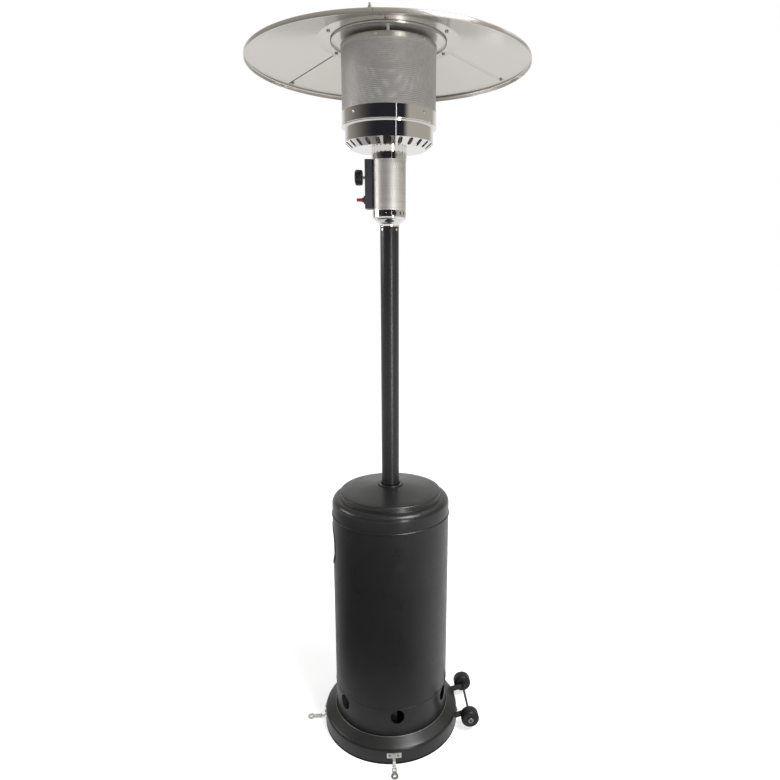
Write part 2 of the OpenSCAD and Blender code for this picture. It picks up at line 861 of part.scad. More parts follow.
module base_screws() {
    color("#8f8e88") {
        for (a = anchor_turns, s = [-1, 1])
            outward(a + s * anchor_screw_turn, anchor_r + anchor_t + seat_gap, anchor_plate_up)
                pan_screw(base_screw_l);
        for (s = [-1, 1], u = [-1, 1])
            outward(s * arm_screw_turn, anchor_r + arm_skin + seat_gap, arm_up + u * arm_screw_up)
                pan_screw(base_screw_l);
    }
}

// Wheels
module wheel_arm(side) {
    low = arm_up - arm_h / 2;
    color("#242425") difference() {
        union() {
            translate([0, side * (arm_y + arm_t / 2), 0]) rotate([90, 0, 0])
                linear_extrude(arm_t, center = true) {
                    polygon([
                        [arm_root_x, low], [axle_out, axle_h - arm_boss_r], [axle_out, axle_h + arm_boss_r],
                        [arm_root_x, low + arm_h]
                    ]);
                    translate([axle_out, axle_h]) circle(r = arm_boss_r);
                }
            rotate([0, 0, side > 0 ? arm_turn - arm_tab_turn : -arm_turn])
                rotate_extrude(angle = arm_tab_turn) translate([anchor_r, low]) square([arm_skin, arm_h]);
        }
        cylinder(r = anchor_r, h = seat_z);
        translate([axle_out, 0, axle_h]) rotate([90, 0, 0])
            cylinder(d = axle_d + hole_gap, h = wheel_track, center = true);
        rim_screw_holes();
    }
}

module wheel_axle() {
    color("#4a4a4a") translate([axle_out, 0, axle_h]) rotate([90, 0, 0])
        cylinder(d = axle_d, h = 2 * axle_half, center = true);
}

module wheel(side) {
    edge_c = [wheel_d / 2 - wheel_edge_r, wheel_w / 2 - wheel_edge_r];
    bore_r = axle_d / 2 + run_gap;
    color("#1d1d1e") translate([axle_out, side * wheel_track / 2, axle_h]) rotate([side * 90, 0, 0])
        rotate_extrude() polygon(concat(
            [[bore_r, -wheel_w / 2], [edge_c[0], -wheel_w / 2]],
            arc([edge_c[0], -edge_c[1]], wheel_edge_r, -90, 0),
            arc(edge_c, wheel_edge_r, 0, 90),
            [[hub_r, wheel_w / 2], [hub_r, wheel_w / 2 + hub_out], [bore_r, wheel_w / 2 + hub_out]]
        ));
}

module axle_caps() {
    cap_r0 = axle_cap_d / 2;
    bore_r = axle_d / 2 + hole_gap / 2;
    color("#c8c8c6") for (s = [-1, 1])
        translate([axle_out, s * axle_cap_y, axle_h]) rotate([-s * 90, 0, 0])
            rotate_extrude() polygon(concat(
                [[bore_r, 0], [cap_r0, 0]],
                arc([cap_r0 - axle_cap_round, axle_cap_h - axle_cap_round], axle_cap_round, 0, 90),
                [[bore_r, axle_cap_h]]
            ));
}

// Housing and lid
module hand_cut(grow) {
    translate([-housing_r - cut_reach, 0, hand_z]) rotate([90, 0, 90])
        linear_extrude(2 * cut_reach) obround(hand_w + 2 * grow, hand_h + 2 * grow);
}

module tank_housing() {
    color("#2a2a2b") difference() {
        translate([0, 0, seat_z]) ring(housing_r, housing_in_r, housing_h);
        hand_cut(0);
    }
}

module hand_hole_trim() {
    color("#151515") difference() {
        intersection() {
            translate([0, 0, seat_z]) ring(housing_r + trim_wall, housing_in_r - trim_wall, housing_h);
            hand_cut(trim_lip);
        }
        hand_cut(-trim_wall);
        difference() {
            translate([0, 0, seat_z]) ring(housing_r + seat_gap, housing_in_r - seat_gap, housing_h);
            hand_cut(-seat_gap);
        }
    }
}

module housing_lid() {
    round_r = lid_step_h * step_round;
    fillet_r = lid_step_w * step_round;
    roll_z = lid_collar_z + lid_collar_h - roll_r;
    color("#2c2c2d") lathe(concat(
        [[lid_plug_r, housing_top - lid_plug_h], [lid_plug_r, housing_top]],
        arc([housing_r - bead_sink, housing_top + lid_bead_r], lid_bead_r, -90, bead_end),
        arc([housing_r - lid_shoulder_r, housing_top + lid_side_h], lid_shoulder_r, 0, 90, shoulder_steps),
        arc([lid_ledge_r, lid_ledge_z + fillet_r], fillet_r, 270, 200, 4),
        arc([lid_edge_r - round_r / 2, lid_edge_z - round_r], round_r, 30, 80, 4),
        [[lid_collar_r, lid_collar_z]],
        arc([lid_collar_r - roll_r, roll_z], roll_r, 0, 90, 4),
        arc([lid_hole_r + roll_r, roll_z], roll_r, 90, 180, 4),
        [[lid_hole_r, lid_collar_z - roll_down]]
    ), housing_sheet);
}

// Head
module at_pole_screws() {
    for (i = [0 : 3])
        rotate([0, 0, head_turn + screw_turn + i * 90])
            translate([0, 0, pole_top - pole_screw_down]) children();
}

module at_band_screws() {
    for (i = [0 : 3])
        rotate([0, 0, head_turn + screw_turn + i * 90])
            translate([0, 0, band_z + band_h - band_screw_down]) children();
}

module at_cap_screws() {
    for (i = [0 : 5])
        rotate([0, 0, head_turn + cap_screw_turn + i * 60])
            translate([0, 0, cap_top - cap_skirt_h / 2]) children();
}

module head_screws() {
    color("#b6b6b3") {
        at_pole_screws() outward(0, pole_r + seat_gap, 0) pan_screw(head_screw_l);
        at_band_screws() outward(0, band_r + seat_gap, 0) pan_screw(head_screw_l);
        at_cap_screws() outward(0, cap_r + seat_gap, 0) pan_screw(head_screw_l);
    }
}

module head_spigot() {
    out_r = pole_in_r - seat_gap;
    top = cup_top - head_sheet;
    color("#8d8d8b") difference() {
        union() {
            translate([0, 0, pole_top - spigot_down]) cylinder(r = out_r, h = top - pole_top + spigot_down);
            translate([0, 0, top - spigot_flange_t])
                cylinder(r = lower_ring_r - 2 * head_sheet, h = spigot_flange_t);
        }
        translate([0, 0, pole_top - spigot_down - eps])
            cylinder(r = out_r - spigot_wall, h = top - pole_top + spigot_down + 2 * eps);
        at_pole_screws() outward_hole(0, pole_r, 0, screw_d + 2 * hole_gap);
    }
}

module head_cup() {
    neck = pole_r + 3 * seat_gap + head_sheet;
    color("#d7d7d7") lathe(concat(
        [[neck, pole_top - cup_neck_down]],
        blend([neck, pole_top - cup_flare_down], [lower_ring_r, cup_top - cup_rim_h]),
        [[lower_ring_r, cup_top], [lower_ring_r - ring_lip, cup_top]]
    ), head_sheet);
}

module lower_vent_ring() {
    color("#d2d2d2") difference() {
        lathe([
            [lower_ring_r - ring_lip, cup_top], [lower_ring_r, cup_top], [lower_ring_r, shell_z],
            [plug_r, shell_z], [plug_r, shell_z + plug_in]
        ], head_sheet);
        for (i = [0 : lower_slot_count - 1])
            outward_slot(
                head_turn + (i + 0.5) * 360 / lower_slot_count, lower_ring_r, cup_top + lower_ring_h / 2,
                lower_slot_w, lower_slot_h
            );
    }
}

module control_shell() {
    color("#b9b8b5") difference() {
        translate([0, 0, shell_z]) ring(shell_r, shell_in_r, shell_h);
        control_frame(box_z - box_up) translate([0, -window_w / 2, -window_h / 2])
            cube([box_out, window_w, window_h]);
    }
}

module upper_vent_ring() {
    rows = [1 / 3, 2 / 3];
    color("#d2d2d2") difference() {
        lathe([
            [plug_r, shell_top - plug_in], [plug_r, shell_top], [neck_r, shell_top], [neck_r, bowl_z],
            [neck_r - ring_lip, bowl_z]
        ], head_sheet);
        for (i = [0 : neck_hole_count - 1], j = [0 : 1])
            outward_hole(
                head_turn + (i + j / 2) * 360 / neck_hole_count, neck_r, shell_top + neck_h * rows[j],
                neck_hole_d
            );
    }
}

// Controls
module control_box() {
    back_x = shell_r + box_wall;
    duct_w = window_w + 2 * box_wall;
    duct_h = window_h + 2 * box_wall;
    color("#1f1f20") control_frame(box_z) difference() {
        union() {
            translate([shell_r, -box_w / 2, -box_h / 2]) cube([box_out - shell_r, box_w, box_h]);
            translate([0, -duct_w / 2, -duct_h / 2 - box_up]) cube([back_x, duct_w, duct_h]);
        }
        translate([back_x, -box_w / 2 + box_wall, -box_h / 2 + box_wall])
            cube([box_in - back_x, box_w - 2 * box_wall, box_h - 2 * box_wall]);
        translate([0, -window_w / 2, -window_h / 2 - box_up]) cube([box_in - eps, window_w, window_h]);
        translate([0, 0, -box_h]) cylinder(r = shell_r + seat_gap, h = 2 * box_h);
        translate([0, 0, shell_top - seat_gap - box_z]) cylinder(r = neck_r + seat_gap, h = box_h);
        translate([0, 0, knob_z - box_z]) along_x(box_in - eps)
            cylinder(r = stem_r + end_room, h = 2 * box_wall);
        translate([0, 0, igniter_z - box_z]) along_x(box_in - eps)
            cylinder(r = igniter_r + hole_gap, h = 2 * box_wall);
    }
}

module gas_valve() {
    color("#9c9a94") control_frame(knob_z) difference() {
        union() {
            translate([-valve_back, -valve_w / 2, -valve_h / 2])
                cube([valve_back + valve_front, valve_w, valve_h]);
            along_x(valve_front - eps) cylinder(r = valve_boss_r, h = box_in - valve_front + eps);
        }
        along_x(chamber_x) cylinder(r = plunger_r + run_gap, h = box_in);
        along_x(stem_tail_x - knob_push - end_room) cylinder(r = stem_r + run_gap, h = box_in);
        translate([0, 0, -valve_h / 2 - eps]) cylinder(d = gas_bore_d, h = valve_h / 3);
    }
}

module valve_plunger() {
    color("#c7a85c") control_frame(knob_z) along_x(plunger_x) ring(plunger_r, stem_r + run_gap, plunger_l);
}

module valve_stem() {
    color("#b3b2ad") control_frame(knob_z) {
        along_x(stem_tail_x) cylinder(r = stem_r, h = knob_x + knob_bore_l - end_room - stem_tail_x);
        along_x(plunger_x + plunger_l + run_gap) cylinder(r = stem_r + collar_front, h = collar_front);
    }
}

module control_knob() {
    round_c = knob_r - knob_round_r;
    color("#18181a") control_frame(knob_z) difference() {
        along_x(knob_x) rotate_extrude() polygon(concat(
            [[0, 0]],
            arc([round_c, knob_round_r], knob_round_r, -90, 0),
            arc([round_c, knob_t - knob_round_r], knob_round_r, 0, 90),
            [[0, knob_t]]
        ));
        for (i = [0 : flute_count - 1])
            rotate([(i + 0.5) * 360 / flute_count, 0, 0]) translate([knob_x, 0, knob_r + flute_out])
                rotate([0, 90, 0]) cylinder(r = flute_r, h = knob_t, $fn = small_fn);
        along_x(knob_x - eps) cylinder(r = stem_r + hole_gap / 2, h = knob_bore_l);
    }
}

module igniter_body() {
    color("#39393b") control_frame(igniter_z) difference() {
        union() {
            along_x(igniter_tail_x) cylinder(r = igniter_r, h = igniter_nut_x - igniter_tail_x);
            along_x(igniter_nut_x - eps) cylinder(r = button_r + sleeve_wall, h = sleeve_l + eps);
            along_x(box_in - igniter_flange_t) cylinder(r = igniter_nut_d / 2, h = igniter_flange_t);
        }
        along_x(sleeve_x - button_in - button_push - end_room)
            cylinder(r = button_r + run_gap, h = box_out);
    }
}

module igniter_collar() {
    color("#77777a") control_frame(igniter_z) along_x(box_out)
        ring(igniter_nut_d / 2, igniter_r + hole_gap, igniter_nut_h);
}

module igniter_button() {
    tip_r = button_r * 0.4;
    color("#c31f24") control_frame(igniter_z) along_x(sleeve_x - button_in)
        rotate_extrude() polygon(concat(
            [[0, 0], [button_r, 0]],
            arc([button_r - tip_r, button_in + button_out - tip_r], tip_r, 0, 90, 4),
            [[0, button_in + button_out]]
        ));
}

module tilt_switch() {
    switch_l = 18;
    switch_w = 20;
    switch_h = 30;
    switch_cap_d = 14;
    switch_cap_h = 5;
    color("#2f3a3a") control_frame(knob_z) {
        translate([-valve_back - switch_l, -switch_w / 2, -switch_h / 2])
            cube([switch_l, switch_w, switch_h]);
        translate([-valve_back - switch_l / 2, 0, switch_h / 2 - eps])
            cylinder(d = switch_cap_d, h = switch_cap_h + eps);
    }
}

module gas_jet() {
    low = knob_z + valve_h / 2;
    color("#b59a55") translate([0, 0, low]) {
        cylinder(r = jet_r, h = jet_h);
        translate([0, 0, jet_h - eps]) hex(jet_hex_r, jet_hex_h);
        translate([0, 0, jet_h + jet_hex_h - 2 * eps]) cylinder(r = jet_nozzle_r, h = jet_nozzle_h);
    }
}

// Lines that climb from the valve, past the burner tube, to the flame beside the drum
module pilot_tube() {
    path = flame_line([0, line_y], [0, neck_line_y], [0, flame_r], knob_z + valve_h / 2, pilot_up);
    color("#c5a46a") control_frame(0) rod(path, pilot_r);
}

module thermocouple() {
    path = flame_line([0, -line_y], [0, -neck_line_y], [0, -flame_r], knob_z + valve_h / 2, couple_up);
    color("#b87a4b") control_frame(0) rod(path, couple_r);
}

module spark_electrode() {
    lead = [igniter_tail_x - spark_stub, spark_y];
    color("#e6e2d8") control_frame(0) {
        rod(concat(
            [[igniter_tail_x, 0, igniter_z], [lead[0], 0, igniter_z]],
            flame_line(lead, lead, spark_at, igniter_z + spark_rise, spark_up)
        ), couple_r);
        translate([spark_at[0], spark_at[1], deck_top + spark_sleeve_z])
            cylinder(r = spark_sleeve_r, h = spark_sleeve_l, $fn = small_fn);
    }
}

function flame_line(start, neck, out, low, up) = [
    [start[0], start[1], low], [start[0], start[1], low + line_step], [neck[0], neck[1], low + line_bend],
    [neck[0], neck[1], bowl_z + line_low], [out[0], out[1], bowl_z + line_high],
    [out[0], out[1], deck_top + up]
];

// Burner
module burner_bowl() {
    cone_run = bowl_r - bowl_bottom_r;
    cone_turn = atan2(bowl_cone_h, cone_run);
    color("#d8d8d8") difference() {
        lathe([
            [bowl_hole_r, bowl_z], [bowl_bottom_r, bowl_z], [bowl_r, bowl_cone_z], [bowl_r, ledge_z],
            [band_r + ledge_out, ledge_z]
        ], head_sheet);
        for (i = [0 : slot_count - 1])
            rotate([0, 0, head_turn + slot_turn + i * 360 / slot_count])
                translate([bowl_bottom_r + cone_run / 2, 0, bowl_z + bowl_cone_h / 2])
                    rotate([0, -cone_turn, 0]) translate([0, 0, -cut_reach / 2]) rotate([0, 0, 90])
                        linear_extrude(cut_reach) obround(slot_w, slot_l);
    }
}

module burner_band() {
    color("#d8d8d8") difference() {
        lathe([[band_foot_in, band_z], [band_r, band_z], [band_r, band_z + band_h]], head_sheet);
        at_band_screws() outward_hole(0, band_r, 0, screw_d + 2 * hole_gap);
    }
}

module burner_deck() {
    edge_r = screen_r - seat_gap;
    color("#9a9894") difference() {
        translate([0, 0, deck_z]) cylinder(r = edge_r, h = deck_t);
        translate([0, 0, deck_z - eps]) cylinder(r = tube_r + hole_gap, h = deck_t + 2 * eps);
        control_frame(deck_z - eps) {
            for (p = [[0, flame_r], [0, -flame_r], spark_at])
                translate(p) cylinder(r = line_hole_r, h = deck_t + 2 * eps, $fn = small_fn);
        }
    }
}

module burner_drum() {
    foot_t = 1.5;
    color("#8f8d89") difference() {
        union() {
            translate([0, 0, deck_top - tube_down]) cylinder(r = tube_r, h = tube_down + foot_t);
            translate([0, 0, deck_top]) cylinder(r = drum_r + drum_foot, h = foot_t);
            translate([0, 0, deck_top]) cylinder(r = drum_r, h = drum_h);
        }
        translate([0, 0, deck_top - tube_down - eps])
            cylinder(r = tube_r - tube_wall, h = tube_down + foot_t * 2);
        translate([0, 0, deck_top + foot_t])
            cylinder(r = drum_r - tube_wall, h = drum_h - foot_t - tube_wall);
        for (i = [0 : drum_port_count - 1])
            outward_slot(
                i * 360 / drum_port_count, drum_r, deck_top + drum_h / 2, port_w, drum_h * port_share
            );
    }
}

module emitter_screen() {
    color("#8e8c88") difference() {
        translate([0, 0, deck_top]) ring(screen_r, screen_r - screen_sheet, screen_h);
        at_band_screws() outward_hole(0, screen_r, 0, screw_d + 2 * hole_gap);
        at_cap_screws() outward_hole(0, screen_r, 0, screw_d + 2 * hole_gap);
    }
}

module screen_cap() {
    color("#bdbbb6") difference() {
        lathe([[cap_r, cap_top - cap_skirt_h], [cap_r, cap_top], [cap_hole_r, cap_top]], head_sheet);
        at_cap_screws() outward_hole(0, cap_r, 0, screw_d + 2 * hole_gap);
        standoff_holes(cap_top);
    }
}

// Reflector
module standoff_holes(z) {
    for (a = standoff_turns) rotate([0, 0, a]) translate([standoff_r, 0, z - cut_reach / 2])
        cylinder(d = bolt_d + 2 * hole_gap, h = cut_reach, $fn = small_fn);
}

module at_flange_bolts() {
    for (a = seam_turns, s = [0, 0.5]) rotate([0, 0, a + flange_bolt_shift + s * panel_turn])
        translate([flange_bolt_r, 0, 0]) children();
}

// At the middle of each lap, square to the cone, with Z pointing up and out
module at_seam_bolts() {
    for (a = seam_turns) rotate([0, 0, a - lap_turn / 2]) translate([seam_bolt_r, 0, seam_bolt_z])
        rotate([0, cone_slope, 0]) children();
}

module reflector_bolt_holes() {
    at_flange_bolts() translate([0, 0, flange_z - cut_reach / 2])
        cylinder(d = bolt_d + 2 * hole_gap, h = cut_reach, $fn = small_fn);
    at_seam_bolts() translate([0, 0, -cut_reach / 2])
        cylinder(d = bolt_d + 2 * hole_gap, h = cut_reach, $fn = small_fn);
}

module reflector_standoffs() {
    under = 5;
    over = disc_t + nut_h + standoff_tail;
    color("#c9c8c4") for (a = standoff_turns) rotate([0, 0, a]) translate([standoff_r, 0, cap_top]) {
        cylinder(r = standoff_body_r, h = standoff_gap, $fn = small_fn);
        translate([0, 0, -head_sheet - under])
            cylinder(d = bolt_d, h = head_sheet + under + eps, $fn = small_fn);
        translate([0, 0, -head_sheet - under]) hex(standoff_body_r, under);
        translate([0, 0, standoff_gap - eps]) cylinder(d = bolt_d, h = over, $fn = small_fn);
    }
}

module reflector_disc() {
    color("#cfcdc8") difference() {
        translate([0, 0, disc_z]) cylinder(d = disc_d, h = disc_t);
        standoff_holes(disc_z);
        reflector_bolt_holes();
    }
}

// The panel's lower face from its rim to the flange, and the strip of cone that the lap covers
panel_path = concat(
    [[reflector_in_r, rim_z]],
    arc(rim_c, rim_round, 0, rim_end, 4),
    [[flange_r, flange_z], [flange_in_r, flange_z], [flange_in_r, flange_z - flange_lip_h]]
);

function cone_at(r) = [r, flange_z - (r - flange_r) * tan(cone_slope)];

module lap_strip(low, turn, from, margin) {
    path = [cone_at(reflector_in_r - margin), cone_at(flange_r + margin)];
    rotate([0, 0, from]) rotate_extrude(angle = turn)
        polygon(concat(shifted(path, -low), reversed(shifted(path, -low - reflector_sheet))));
}

module reflector_panel(i) {
    sweep = panel_turn - seam_gap_turn;
    color("#cdc9c2") difference() {
        rotate([0, 0, seam_turns[i]]) union() {
            rotate_extrude(angle = sweep) polygon(sheet(panel_path, -reflector_sheet));
            rotate_extrude(angle = sweep)
                translate([reflector_in_r - hem_t, rim_z]) square([hem_t + eps, hem_h]);
            lap_strip(reflector_sheet + lap_gap, 1.5 * lap_turn, -lap_turn, lap_margin);
            lap_strip(reflector_sheet / 2, lap_turn / 4, lap_turn / 8, 2 * lap_margin);
        }
        reflector_bolt_holes();
    }
}

module reflector_bolt(grip) {
    translate([0, 0, -bolt_head_h]) cylinder(r = bolt_head_r, h = bolt_head_h, $fn = small_fn);
    translate([0, 0, -eps]) cylinder(d = bolt_d, h = grip + bolt_nut_h + bolt_tail, $fn = small_fn);
    translate([0, 0, grip]) hex(bolt_head_r, bolt_nut_h);
}

module reflector_bolts() {
    color("#6f6e6a") {
        at_flange_bolts() translate([0, 0, flange_z]) reflector_bolt(reflector_sheet + disc_t);
        at_seam_bolts() translate([0, 0, -seat_gap])
            reflector_bolt(2 * reflector_sheet + lap_gap + 2 * seat_gap);
    }
}

module wing_nuts() {
    hole_r = bolt_d / 2 + hole_gap;
    color("#c9c8c4") for (a = standoff_turns)
        rotate([0, 0, a]) translate([standoff_r, 0, disc_z + disc_t]) difference() {
            union() {
                cylinder(r = bolt_d, h = nut_h, $fn = small_fn);
                rotate([90, 0, 0]) linear_extrude(wing_t, center = true)
                    polygon([
                        [-bolt_d, 0], [bolt_d, 0], [wing_l, wing_h], [wing_l - wing_tip, wing_h],
                        [0, wing_dip], [wing_tip - wing_l, wing_h], [-wing_l, wing_h]
                    ]);
            }
            translate([0, 0, -eps]) cylinder(r = hole_r, h = 2 * wing_h, $fn = small_fn);
        }
}

base_pan();
base_collar();
leg(leg_turns[0]);  // leg_1
leg(leg_turns[1]);  // leg_2
leg(leg_turns[2]);  // leg_3
leg_bolts();
pole_foot();
gas_inlet();
gas_pipe();
pole();
anchor_bracket(anchor_turns[0]);  // anchor_bracket_front
anchor_bracket(anchor_turns[1]);  // anchor_bracket_left
anchor_bracket(anchor_turns[2]);  // anchor_bracket_rear
anchor_link(anchor_turns[0]);  // anchor_link_front
anchor_link(anchor_turns[1]);  // anchor_link_left
anchor_link(anchor_turns[2]);  // anchor_link_rear
anchor_pins();
base_screws();
wheel_arm(-1);  // wheel_arm_front
wheel_arm(1);  // wheel_arm_rear
wheel_axle();
wheel(-1);  // wheel_front
wheel(1);  // wheel_rear
axle_caps();
tank_housing();
housing_lid();
hand_hole_trim();
head_spigot();
head_cup();
lower_vent_ring();
control_shell();
upper_vent_ring();
control_box();
gas_valve();
valve_plunger();
valve_stem();
control_knob();
igniter_body();
igniter_collar();
igniter_button();
tilt_switch();
gas_jet();
pilot_tube();
thermocouple();
spark_electrode();
burner_bowl();
burner_band();
burner_deck();
burner_drum();
emitter_screen();
screen_cap();
head_screws();
reflector_standoffs();
reflector_disc();
reflector_panel(0);  // reflector_panel_1
reflector_panel(1);  // reflector_panel_2
reflector_panel(2);  // reflector_panel_3
reflector_bolts();
wing_nuts();
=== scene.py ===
"""Looks of the gas patio heater: finishes, the perforated screen, light, floor and camera."""

import json
import math

import bmesh
import bpy
from mathutils import Matrix, Vector


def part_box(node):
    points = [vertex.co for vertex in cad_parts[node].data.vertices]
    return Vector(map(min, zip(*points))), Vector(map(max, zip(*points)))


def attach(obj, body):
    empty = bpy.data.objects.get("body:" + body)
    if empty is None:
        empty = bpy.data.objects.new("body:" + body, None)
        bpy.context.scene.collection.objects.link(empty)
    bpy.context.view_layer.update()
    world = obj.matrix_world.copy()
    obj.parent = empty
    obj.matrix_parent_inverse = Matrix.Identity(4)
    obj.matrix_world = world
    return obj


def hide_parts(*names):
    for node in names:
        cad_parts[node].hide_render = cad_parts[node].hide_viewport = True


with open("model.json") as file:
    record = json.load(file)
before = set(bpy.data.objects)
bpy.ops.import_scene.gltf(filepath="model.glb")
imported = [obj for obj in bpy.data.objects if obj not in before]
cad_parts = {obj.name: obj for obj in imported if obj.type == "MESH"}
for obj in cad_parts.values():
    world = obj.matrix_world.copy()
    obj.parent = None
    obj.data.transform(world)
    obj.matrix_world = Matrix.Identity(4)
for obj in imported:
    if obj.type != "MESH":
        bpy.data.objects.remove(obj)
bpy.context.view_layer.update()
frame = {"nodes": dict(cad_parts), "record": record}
nodes = frame["nodes"]

MM = 0.001


# Shader helpers
NOISE_SPAN = (0.3, 0.7)


class Finish:
    """A material under construction: one principled shader and the nodes that feed it."""

    def __init__(self, name, color, rough, metal=0.0):
        self.mat = bpy.data.materials.new(name)
        self.mat.use_nodes = True
        self.mat.diffuse_color = (*color, 1.0)
        self.tree = self.mat.node_tree
        self.shader = self.tree.nodes["Principled BSDF"]
        self.coords = self.tree.nodes.new("ShaderNodeTexCoord")
        self.color = color
        self.set("Base Color", (*color, 1.0))
        self.set("Roughness", rough)
        self.set("Metallic", metal)

    def set(self, socket, value):
        """Set a constant on the shader itself."""
        self.shader.inputs[socket].default_value = value

    def link(self, output, target):
        """Join two sockets."""
        self.tree.links.new(output, target)

    def noise(self, scale, detail, stretch=(1, 1, 1)):
        """Noise in the object's own metres, stretched along its axes."""
        mapping = self.tree.nodes.new("ShaderNodeMapping")
        mapping.inputs["Scale"].default_value = stretch
        self.link(self.coords.outputs["Object"], mapping.inputs["Vector"])
        texture = self.tree.nodes.new("ShaderNodeTexNoise")
        texture.inputs["Scale"].default_value = scale
        texture.inputs["Detail"].default_value = detail
        self.link(mapping.outputs["Vector"], texture.inputs["Vector"])
        return texture.outputs["Fac"]

    def vary(self, fac, swing):
        """Vary the colour round its own value by a share."""
        dark = [c * (1 - swing) for c in self.color]
        light = [min(c * (1 + swing), 1.0) for c in self.color]
        ramp = self.tree.nodes.new("ShaderNodeValToRGB")
        for stop, place, shade in zip(ramp.color_ramp.elements, NOISE_SPAN, (dark, light)):
            stop.position = place
            stop.color = (*shade, 1.0)
        self.link(fac, ramp.inputs["Fac"])
        self.link(ramp.outputs["Color"], self.shader.inputs["Base Color"])

    def polish(self, fac, low, high):
        """Vary the roughness between two values."""
        node = self.tree.nodes.new("ShaderNodeMapRange")
        node.inputs["From Min"].default_value = NOISE_SPAN[0]
        node.inputs["From Max"].default_value = NOISE_SPAN[1]
        node.inputs["To Min"].default_value = low
        node.inputs["To Max"].default_value = high
        self.link(fac, node.inputs["Value"])
        self.link(node.outputs["Result"], self.shader.inputs["Roughness"])

    def bump(self, fac, height_mm, strength):
        """Raise the surface by a factor, and hand the finish back."""
        node = self.tree.nodes.new("ShaderNodeBump")
        node.inputs["Strength"].default_value = strength
        node.inputs["Distance"].default_value = height_mm * MM
        self.link(fac, node.inputs["Height"])
        self.link(node.outputs["Normal"], self.shader.inputs["Normal"])
        return self


def powder_coat(name, shade, rough):
    """Satin powder coat: fine orange peel, and a slow drift of sheen."""
    f = Finish(name, shade, rough)
    f.set("Specular IOR Level", 0.45)
    f.vary(f.noise(scale=14, detail=4), swing=0.12)
    f.polish(f.noise(scale=22, detail=5), low=rough - 0.04, high=rough + 0.05)
    return f.bump(f.noise(scale=520, detail=2), height_mm=0.03, strength=0.22)


def sheet_metal(name, shade, low, high, stretch, scale, grain, swing):
    """Bare metal whose grain runs along the axes that are stretched least."""
    f = Finish(name, shade, rough=low, metal=1.0)
    lines = f.noise(scale, detail=4, stretch=stretch)
    f.vary(lines, swing)
    f.polish(lines, low, high)
    return f.bump(lines, height_mm=grain, strength=0.3)


def plastic(name, shade, rough, grain):
    """Moulded plastic with a fine eroded grain."""
    f = Finish(name, shade, rough)
    f.vary(f.noise(scale=60, detail=3), swing=0.1)
    f.polish(f.noise(scale=90, detail=4), low=rough - 0.05, high=rough + 0.06)
    return f.bump(f.noise(scale=900, detail=2), height_mm=grain, strength=0.4)


def metal(name, shade, low, high, scale=180, grain=0.02, swing=0.1):
    """Plated or cast metal with an even mottle."""
    f = Finish(name, shade, rough=low, metal=1.0)
    mottle = f.noise(scale, detail=5)
    f.vary(mottle, swing)
    f.polish(f.noise(scale * 2, detail=3), low, high)
    return f.bump(mottle, height_mm=grain, strength=0.25)


# Finishes
FINISH = {
    "black_coat": powder_coat("black_coat", (0.0095, 0.0095, 0.0098), rough=0.31),
    "box_black": powder_coat("box_black", (0.04, 0.04, 0.047), rough=0.45),
    "zinc": metal("zinc", (0.65, 0.648, 0.62), low=0.28, high=0.42),
    "dark_steel": metal("dark_steel", (0.08, 0.077, 0.073), low=0.32, high=0.48),
    "bolt_steel": metal("bolt_steel", (0.26, 0.25, 0.237), low=0.32, high=0.48),
    "brass_parts": metal("brass_parts", (0.68, 0.49, 0.22), low=0.25, high=0.4),
    "valve_metal": metal("valve_metal", (0.55, 0.54, 0.52), low=0.35, high=0.5),
    "heat_steel": metal(
        "heat_steel", (0.58, 0.56, 0.53), low=0.26, high=0.4, scale=120, grain=0.01, swing=0.06,
    ),
    "screen_steel": metal(
        "screen_steel", (0.5, 0.485, 0.465), low=0.42, high=0.56, scale=90, grain=0.01, swing=0.08,
    ),
    "tyre_black": plastic("tyre_black", (0.009, 0.009, 0.0095), rough=0.4, grain=0.03),
    "trim_black": plastic("trim_black", (0.006, 0.006, 0.006), rough=0.55, grain=0.04),
    "knob_black": plastic("knob_black", (0.009, 0.009, 0.01), rough=0.32, grain=0.02),
    "button_red": plastic("button_red", (0.5, 0.012, 0.03), rough=0.3, grain=0.01),
    "collar_grey": plastic("collar_grey", (0.1, 0.085, 0.1), rough=0.42, grain=0.02),
    "ceramic_white": plastic("ceramic_white", (0.78, 0.75, 0.68), rough=0.3, grain=0.01),
    "mirror_steel": sheet_metal(
        "mirror_steel", (0.78, 0.765, 0.735), low=0.035, high=0.06,
        stretch=(1, 1, 9), scale=60, grain=0.002, swing=0.02,
    ),
    "brushed_shell": sheet_metal(
        "brushed_shell", (0.57, 0.549, 0.519), low=0.44, high=0.56,
        stretch=(3, 3, 110), scale=5, grain=0.014, swing=0.12,
    ),
    "reflector_aluminium": sheet_metal(
        "reflector_aluminium", (0.62, 0.594, 0.558), low=0.2, high=0.26,
        stretch=(1, 1, 1), scale=3, grain=0.004, swing=0.02,
    ),
    "polished_disc": sheet_metal(
        "polished_disc", (0.68, 0.652, 0.612), low=0.2, high=0.26,
        stretch=(1, 1, 1), scale=4, grain=0.002, swing=0.02,
    ),
}
FINISH["screen_steel"].set("Metallic", 0.4)
FINISH["polished_disc"].set("Metallic", 0.6)
FINISH["tyre_black"].set("Specular IOR Level", 0.3)
FINISH["trim_black"].set("Specular IOR Level", 0.1)
BOLT_NODES = ("reflector_bolts", "base_screws", "axle_caps")


def dress(piece, finish):
    """Give a piece one finish and nothing else."""
    piece.data.materials.clear()
    piece.data.materials.append(FINISH[finish].mat)


slot_of = {s["node"]: s["material_slot"] for s in frame["record"]["subparts"]}
for name, piece in nodes.items():
    dress(piece, "bolt_steel" if name in BOLT_NODES else slot_of[name])


